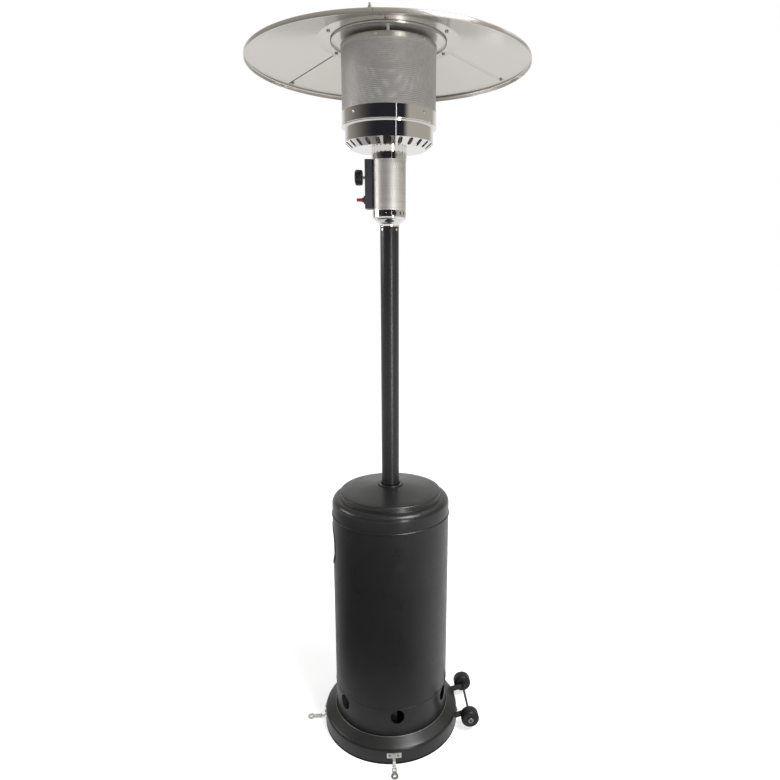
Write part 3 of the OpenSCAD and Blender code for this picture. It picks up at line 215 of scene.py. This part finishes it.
# Smooth shading of the solids, with their sharp edges kept sharp
SMOOTH_LIMIT = math.radians(28)
CREASE_LIMIT = math.radians(12)
WELD_REACH = 2e-6
for name, piece in nodes.items():
    mesh = piece.data
    if "custom_normal" in mesh.attributes:
        mesh.attributes.remove(mesh.attributes["custom_normal"])
    mesh.shade_smooth()
    weld = piece.modifiers.new("weld", "WELD")
    weld.merge_threshold = WELD_REACH
    split = piece.modifiers.new("edges", "EDGE_SPLIT")
    split.split_angle = CREASE_LIMIT if name.startswith("reflector_panel") else SMOOTH_LIMIT


# Perforated emitter screen
SCREEN_SHEET = 0.8 * MM
HOLE_PITCH = 5.5 * MM
HOLE_SHARE = 0.52
HOLE_SIDES = 6
CELL_CORNERS = ((0, 2), (1, 1), (1, -1), (0, -2), (-1, -1), (-1, 1))
PLAIN_FOOT = 39 * MM
PLAIN_HEAD = 14 * MM


def perforated_tube(name, radius, low, high, foot, head):
    """A tube of sheet with staggered rows of holes between a plain foot and a plain head."""
    count = round(2 * math.pi * radius / HOLE_PITCH)
    turn = 2 * math.pi / count
    pitch = radius * turn
    row_h = pitch * math.sqrt(3) / 2
    rows = int((high - head - low - foot) / row_h)
    start = low + foot
    hole_r = pitch * HOLE_SHARE / 2
    bm = bmesh.new()
    corners = {}

    def corner(u, v):
        """A shared vertex at u half-pitches round the tube and v thirds of a row up."""
        key = (u % (2 * count), v)
        if key not in corners:
            a = key[0] * turn / 2
            z = start + v * row_h / 3
            corners[key] = bm.verts.new((radius * math.cos(a), radius * math.sin(a), z))
        return corners[key]

    for row in range(rows):
        for i in range(count):
            u = 2 * i + row % 2
            v = 3 * row + 2
            middle = u * turn / 2
            z = start + v * row_h / 3
            edge = [corner(u + du, v + dv) for du, dv in CELL_CORNERS]
            hole = []
            for k in range(HOLE_SIDES):
                side = math.radians(90 - 360 / HOLE_SIDES * k)
                a = middle + hole_r * math.cos(side) / radius
                rise = hole_r * math.sin(side)
                hole.append(bm.verts.new((radius * math.cos(a), radius * math.sin(a), z + rise)))
            for k in range(HOLE_SIDES):
                n = (k + 1) % HOLE_SIDES
                bm.faces.new((edge[k], hole[k], hole[n], edge[n]))
    bottom = sorted(key for key in corners if key[1] <= 1)
    top = sorted(key for key in corners if key[1] >= 3 * rows)
    for ring, end in ((bottom, low), (top, high)):
        ends = {key: bm.verts.new((corners[key].co.x, corners[key].co.y, end)) for key in ring}
        for i, key in enumerate(ring):
            after = ring[(i + 1) % len(ring)]
            face = (corners[key], corners[after], ends[after], ends[key])
            bm.faces.new(face if end == high else face[::-1])
    mesh = bpy.data.meshes.new(name)
    bm.normal_update()
    bm.to_mesh(mesh)
    bm.free()
    piece = bpy.data.objects.new(name, mesh)
    bpy.context.scene.collection.objects.link(piece)
    thick = piece.modifiers.new("sheet", "SOLIDIFY")
    thick.thickness = SCREEN_SHEET
    thick.offset = -1.0
    return piece


screen_low, screen_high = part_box("emitter_screen")
screen_r = (screen_high.x - screen_low.x) / 2
screen = perforated_tube(
    "perforated_screen", screen_r, screen_low.z, screen_high.z, PLAIN_FOOT, PLAIN_HEAD
)
dress(screen, "screen_steel")
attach(screen, "heater_frame")
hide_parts("emitter_screen")


# Small rolled and folded edges, and the dark strips and rings that are painted shade
def finish_piece(name, bm, body, finish):
    """Turn a mesh under construction into a dressed piece that rides on a body."""
    bmesh.ops.recalc_face_normals(bm, faces=bm.faces)
    mesh = bpy.data.meshes.new(name)
    bm.to_mesh(mesh)
    bm.free()
    mesh.shade_smooth()
    piece = bpy.data.objects.new(name, mesh)
    bpy.context.scene.collection.objects.link(piece)
    split = piece.modifiers.new("edges", "EDGE_SPLIT")
    split.split_angle = SMOOTH_LIMIT
    dress(piece, finish)
    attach(piece, body)
    return piece


# Hems along the reflector's seams, and a dark strip in each seam gap that is painted shadow
FLANGE_R = 205 * MM
FLANGE_Z = 2216.8 * MM
CONE_DROP = math.tan(math.radians(15.58))
SEAM_TURNS = (-97, 23, 143)
SEAM_GAP = math.radians(0.2)
LAP_FROM = 208 * MM
LAP_TO = 394 * MM
LAP_STEPS = 24
HEM_W = 12 * MM
HEM_T = 1.2 * MM
HEM_THIN = 0.2 * MM
# Width of the dark strip in each seam gap, which is painted shadow; the hem ends where that strip starts
SEAM_SHADOW_W = 0.8 * MM
HEM_SECTION = ((-HEM_W, 0), (-HEM_W, HEM_THIN), (-SEAM_SHADOW_W, HEM_T), (-SEAM_SHADOW_W, 0))
SEAM_SHADOW_SECTION = ((-SEAM_SHADOW_W, 0), (-SEAM_SHADOW_W, HEM_T), (0, HEM_T), (0, 0))


def seam_pieces(name, section, body, finish):
    """A strip under each seam, with its section given across the seam and down from the sheet."""
    bm = bmesh.new()
    for turn in SEAM_TURNS:
        edge = math.radians(turn) - SEAM_GAP
        loops = []
        for i in range(LAP_STEPS + 1):
            r = LAP_FROM + (LAP_TO - LAP_FROM) * i / LAP_STEPS
            z = FLANGE_Z - (r - FLANGE_R) * CONE_DROP
            loop = []
            for across, down in section:
                a = edge + across / r
                loop.append(bm.verts.new((r * math.cos(a), r * math.sin(a), z - down)))
            loops.append(loop)
        for loop, after in zip(loops, loops[1:]):
            for k in range(len(section)):
                n = (k + 1) % len(section)
                bm.faces.new((loop[k], loop[n], after[n], after[k]))
        bm.faces.new(loops[0][::-1])
        bm.faces.new(loops[-1])
    finish_piece(name, bm, body, finish)


seam_pieces("lap_hems", HEM_SECTION, "heater_frame", "reflector_aluminium")
# A dark strip in each seam gap: painted shadow, standing for the shade under the lifted edge of a panel
seam_pieces("seam_shadow_strips", SEAM_SHADOW_SECTION, "heater_frame", "dark_steel")


# Rings, with each bead's radius, height and thickness, and the foot edging's outline; the flange bead
# and the foot edging are dark as painted shade
RING_STEPS = 240
BEAD_STEPS = 12
HOUSING_HEM = (193.9 * MM, 171.2 * MM, 1.0 * MM)
LID_BEAD = (193.8 * MM, 787.8 * MM, 2.8 * MM)
COLLAR_BEAD = (197.4 * MM, 72.3 * MM, 1.3 * MM)
FLANGE_SHADOW_BEAD = (165.4 * MM, 2213.6 * MM, 1.3 * MM)
BAND_BEAD_IN = 1.4 * MM
BAND_BEAD_T = 2.2 * MM
FOOT_SHADE_OUTLINE = ((233, 0.3), (234.6, 0.3), (234.6, 5.6), (234.2, 6), (233, 6))


def bead(radius, height, thick):
    """The outline of a round bead about a point."""
    turns = [2 * math.pi * k / BEAD_STEPS for k in range(BEAD_STEPS)]
    return [(radius + thick * math.cos(t), height + thick * math.sin(t)) for t in turns]


def ring_piece(name, profile, body, finish):
    """A closed ring turned from an outline of radius and height, riding on a body."""
    bm = bmesh.new()
    loops = []
    for i in range(RING_STEPS):
        a = 2 * math.pi * i / RING_STEPS
        loops.append([bm.verts.new((r * math.cos(a), r * math.sin(a), z)) for r, z in profile])
    for i, loop in enumerate(loops):
        after = loops[(i + 1) % RING_STEPS]
        for k in range(len(profile)):
            n = (k + 1) % len(profile)
            bm.faces.new((loop[k], after[k], after[n], loop[n]))
    return finish_piece(name, bm, body, finish)


ring_piece("housing_hem", bead(*HOUSING_HEM), "bottle_housing", "black_coat")
ring_piece("lid_bead", bead(*LID_BEAD), "bottle_housing", "black_coat")
# The flange bead is a dark ring at the flange's inner edge: painted shadow of the gap there
for name, outline in (("collar_bead", COLLAR_BEAD), ("flange_bead", FLANGE_SHADOW_BEAD)):
    dress(ring_piece(name, bead(*outline), "heater_frame", "dark_steel"), "bolt_steel")
# A black band round the base's rolled foot: painted shade, where the foot's underside lies in its own
# shadow
foot_shade_band = [(r * MM, z * MM) for r, z in FOOT_SHADE_OUTLINE]
ring_piece("foot_shade_band", foot_shade_band, "heater_frame", "trim_black")
band_low, band_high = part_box("burner_band")
band_bead = (band_high.x - BAND_BEAD_IN, band_low.z + BAND_BEAD_T, BAND_BEAD_T)
ring_piece("band_bead", bead(*band_bead), "heater_frame", "mirror_steel")


# The studio: dark low down on the camera's side, pale behind the object, warm grey elsewhere
CAMERA_TURN = -92.0
ROOM_GREY = (0.45, 0.425, 0.385, 1)
ROOM_PALE = (0.85, 0.84, 0.82, 1)
ROOM_DARK = (0.02, 0.02, 0.026, 1)
ROOM_LEFT = (-165, -35)
ROOM_RIGHT = (52, 34)
ROOM_BEHIND = (0.55, 0.9)
DARK_TOP = (math.sin(math.radians(24)), math.sin(math.radians(17)))
DIFFUSE_ROOM = 0.38
WHITE = (1.0, 1.0, 1.0, 1)
FLOOR_HALF = 30.0
FLOOR_DROP = 0.5 * MM
FLOOR_PALE = (0.86, 0.86, 0.855, 1)
FLOOR_SOFT = (0.3, 0.3, 0.298, 1)
FLOOR_DARK = (0.08, 0.078, 0.076, 1)
FLOOR_LEFT = (-175, -75)
FLOOR_RIGHT = (90, 15)
FLOOR_NEAR = (0.08, 0.74)
FLOOR_AWAY = (3.2, 2.0)
FLOOR_FAR = (1.2, 4.0)
FLOOR_LIFT = 0.55
FLOOR_GLOSS = 0.6
FAR_LIFT = 0.18


class Stage:
    """Sums on the node tree of the floor or of the world."""

    def __init__(self, tree):
        self.tree = tree
        tree.nodes.clear()
        self.rays = self.node("ShaderNodeLightPath").outputs

    def node(self, kind):
        """A new node on the tree."""
        return self.tree.nodes.new(kind)

    def link(self, output, target):
        """Join two sockets."""
        self.tree.links.new(output, target)

    def sum(self, operation, a, b):
        """One sum of two values, each a number or a socket."""
        node = self.node("ShaderNodeMath")
        node.operation = operation
        for socket, value in zip(node.inputs, (a, b)):
            if isinstance(value, (int, float)):
                socket.default_value = value
            else:
                self.link(value, socket)
        return node.outputs[0]

    def step(self, value, start, end):
        """A smooth step from 0 at the start to 1 at the end."""
        node = self.node("ShaderNodeMapRange")
        node.interpolation_type = "SMOOTHSTEP"
        node.inputs["From Min"].default_value = start
        node.inputs["From Max"].default_value = end
        self.link(value, node.inputs["Value"])
        return node.outputs["Result"]

    def blend(self, factor, a, b):
        """A colour between two, each a colour or a socket."""
        node = self.node("ShaderNodeMix")
        node.data_type = "RGBA"
        sockets = {s.identifier: s for s in node.inputs}
        self.link(factor, sockets["Factor_Float"])
        for key, value in (("A_Color", a), ("B_Color", b)):
            if isinstance(value, tuple):
                sockets[key].default_value = value
            else:
                self.link(value, sockets[key])
        return next(s for s in node.outputs if s.identifier == "Result_Color")

    def split(self, vector):
        """The three parts of a vector."""
        parts = self.node("ShaderNodeSeparateXYZ")
        self.link(vector, parts.inputs[0])
        return parts.outputs

    def reach(self, parts):
        """How far a place lies from the upright axis."""
        squares = [self.sum("MULTIPLY", parts[axis], parts[axis]) for axis in "XY"]
        return self.sum("SQRT", self.sum("ADD", *squares), 0.0)

    def along(self, parts, turn):
        """How far a vector reaches in the level direction of a turn."""
        x = self.sum("MULTIPLY", parts["X"], math.cos(math.radians(turn)))
        y = self.sum("MULTIPLY", parts["Y"], math.sin(math.radians(turn)))
        return self.sum("ADD", x, y)

    def front(self, parts, left, right):
        """How far a direction lies between two soft edges, in degrees from the camera's side."""
        sideways = self.along(parts, CAMERA_TURN + 90)
        turn = self.sum("ARCTAN2", sideways, self.along(parts, CAMERA_TURN))
        from_left = self.step(turn, *(math.radians(a) for a in left))
        from_right = self.step(turn, *(math.radians(a) for a in right))
        return self.sum("MULTIPLY", from_left, from_right)


# Floor
floor_mesh = bpy.data.meshes.new("floor")
quarters = ((-1, -1), (1, -1), (1, 1), (-1, 1))
floor_corners = [(x * FLOOR_HALF, y * FLOOR_HALF, 0) for x, y in quarters]
floor_mesh.from_pydata(floor_corners, [], [(0, 1, 2, 3)])
floor = bpy.data.objects.new("floor", floor_mesh)
bpy.context.scene.collection.objects.link(floor)
floor.location.z = -FLOOR_DROP
floor_mat = bpy.data.materials.new("pale_floor")
floor_mat.use_nodes = True
stage = Stage(floor_mat.node_tree)
matte = stage.node("ShaderNodeBsdfDiffuse")
glow = stage.node("ShaderNodeEmission")
both = stage.node("ShaderNodeAddShader")
out = stage.node("ShaderNodeOutputMaterial")
spot = stage.node("ShaderNodeNewGeometry")
parts = stage.split(spot.outputs["Position"])
away = stage.reach(parts)
belt = stage.sum("MULTIPLY", stage.step(away, *FLOOR_NEAR), stage.step(away, *FLOOR_AWAY))
dark = stage.sum("MULTIPLY", stage.front(parts, FLOOR_LEFT, FLOOR_RIGHT), belt)
mirrored = stage.rays["Is Glossy Ray"]
tone = stage.blend(mirrored, FLOOR_PALE, stage.blend(dark, FLOOR_SOFT, FLOOR_DARK))
seen = stage.sum("MAXIMUM", stage.rays["Is Camera Ray"], stage.rays["Is Transmission Ray"])
far = stage.sum("MULTIPLY", stage.step(away, *FLOOR_FAR), FAR_LIFT)
lift = stage.sum("MULTIPLY", seen, stage.sum("ADD", far, FLOOR_LIFT))
bright = stage.sum("MULTIPLY", mirrored, stage.sum("SUBTRACT", 1.0, dark))
gloss = stage.sum("MULTIPLY", bright, stage.sum("ADD", far, FLOOR_GLOSS))
stage.link(tone, matte.inputs["Color"])
stage.link(stage.sum("ADD", lift, gloss), glow.inputs["Strength"])
stage.link(matte.outputs[0], both.inputs[0])
stage.link(glow.outputs[0], both.inputs[1])
stage.link(both.outputs[0], out.inputs["Surface"])
floor.data.materials.append(floor_mat)


# World
world = bpy.data.worlds.new("studio")
world.use_nodes = True
bpy.context.scene.world = world
stage = Stage(world.node_tree)
direction = stage.node("ShaderNodeTexCoord")
backdrop = stage.node("ShaderNodeBackground")
out = stage.node("ShaderNodeOutputWorld")
parts = stage.split(direction.outputs["Generated"])
behind = stage.step(stage.along(parts, CAMERA_TURN + 180), *ROOM_BEHIND)
low_down = stage.step(parts["Z"], *DARK_TOP)
dark = stage.sum("MULTIPLY", stage.front(parts, ROOM_LEFT, ROOM_RIGHT), low_down)
room = stage.blend(dark, stage.blend(behind, ROOM_GREY, ROOM_PALE), ROOM_DARK)
dimmed = stage.sum("MULTIPLY", stage.rays["Is Diffuse Ray"], 1 - DIFFUSE_ROOM)
stage.link(stage.blend(stage.rays["Is Glossy Ray"], WHITE, room), backdrop.inputs["Color"])
stage.link(stage.sum("SUBTRACT", 1.0, dimmed), backdrop.inputs["Strength"])
stage.link(backdrop.outputs[0], out.inputs["Surface"])


# Lamps
def softbox(name, turn, distance, height, width, tall, power, aim):
    """A soft area lamp, turned from the camera's side by degrees, that looks at a height on the axis."""
    light = bpy.data.lights.new(name, "AREA")
    light.shape = "RECTANGLE"
    light.size = width
    light.size_y = tall
    light.energy = power
    lamp = bpy.data.objects.new(name, light)
    a = math.radians(CAMERA_TURN + turn)
    lamp.location = (distance * math.cos(a), distance * math.sin(a), height)
    gaze = Vector((0, 0, aim)) - lamp.location
    lamp.rotation_euler = gaze.to_track_quat("-Z", "Y").to_euler()
    bpy.context.scene.collection.objects.link(lamp)


softbox("strip_right", turn=17, distance=3.2, height=1.9, width=0.05, tall=2.6, power=0.9, aim=1.9)
softbox("strip_low", turn=25, distance=3.0, height=1.05, width=0.3, tall=1.7, power=28, aim=1.05)
softbox("soft_left", turn=-95, distance=3.2, height=2.08, width=1.6, tall=0.55, power=24, aim=2.0)
softbox("soft_front", turn=46, distance=2.35, height=4.2, width=1.5, tall=1.8, power=145, aim=0.8)
softbox("soft_top", turn=110, distance=3.0, height=4.2, width=1.8, tall=1.8, power=12, aim=1.0)


# Camera at the photograph's own place
PHOTO = 780
FOCAL_PX = 617.77
CENTRE_PX = (413.30, 398.79)
SENSOR = 36.0
VIEW_DEPTH = 100
CAMERA_BACK = 1.9503
CAMERA_UP = 1.6021
YAW = 0.0383
PITCH = 0.2171
ROLL = 0.0042
OBJECT_TURN = math.radians(2)

level = math.cos(PITCH)
forward = Vector((math.sin(YAW) * level, math.cos(YAW) * level, -math.sin(PITCH)))
right = Vector((math.cos(YAW), -math.sin(YAW), 0))
up = right.cross(forward)
rolled_right = math.cos(ROLL) * right + math.sin(ROLL) * up
rolled_up = math.cos(ROLL) * up - math.sin(ROLL) * right
place = Matrix((
    (rolled_right.x, rolled_up.x, -forward.x, 0),
    (rolled_right.y, rolled_up.y, -forward.y, -CAMERA_BACK),
    (rolled_right.z, rolled_up.z, -forward.z, CAMERA_UP),
    (0, 0, 0, 1),
))
lens = bpy.data.cameras.new("camera")
lens.sensor_width = SENSOR
lens.lens = FOCAL_PX / PHOTO * SENSOR
lens.shift_x = 0.5 - CENTRE_PX[0] / PHOTO
lens.shift_y = CENTRE_PX[1] / PHOTO - 0.5
lens.clip_end = VIEW_DEPTH
camera = bpy.data.objects.new("camera", lens)
camera.matrix_world = Matrix.Rotation(-OBJECT_TURN, 4, "Z") @ place
bpy.context.scene.collection.objects.link(camera)
bpy.context.scene.camera = camera

bpy.context.scene.view_settings.view_transform = "Standard"
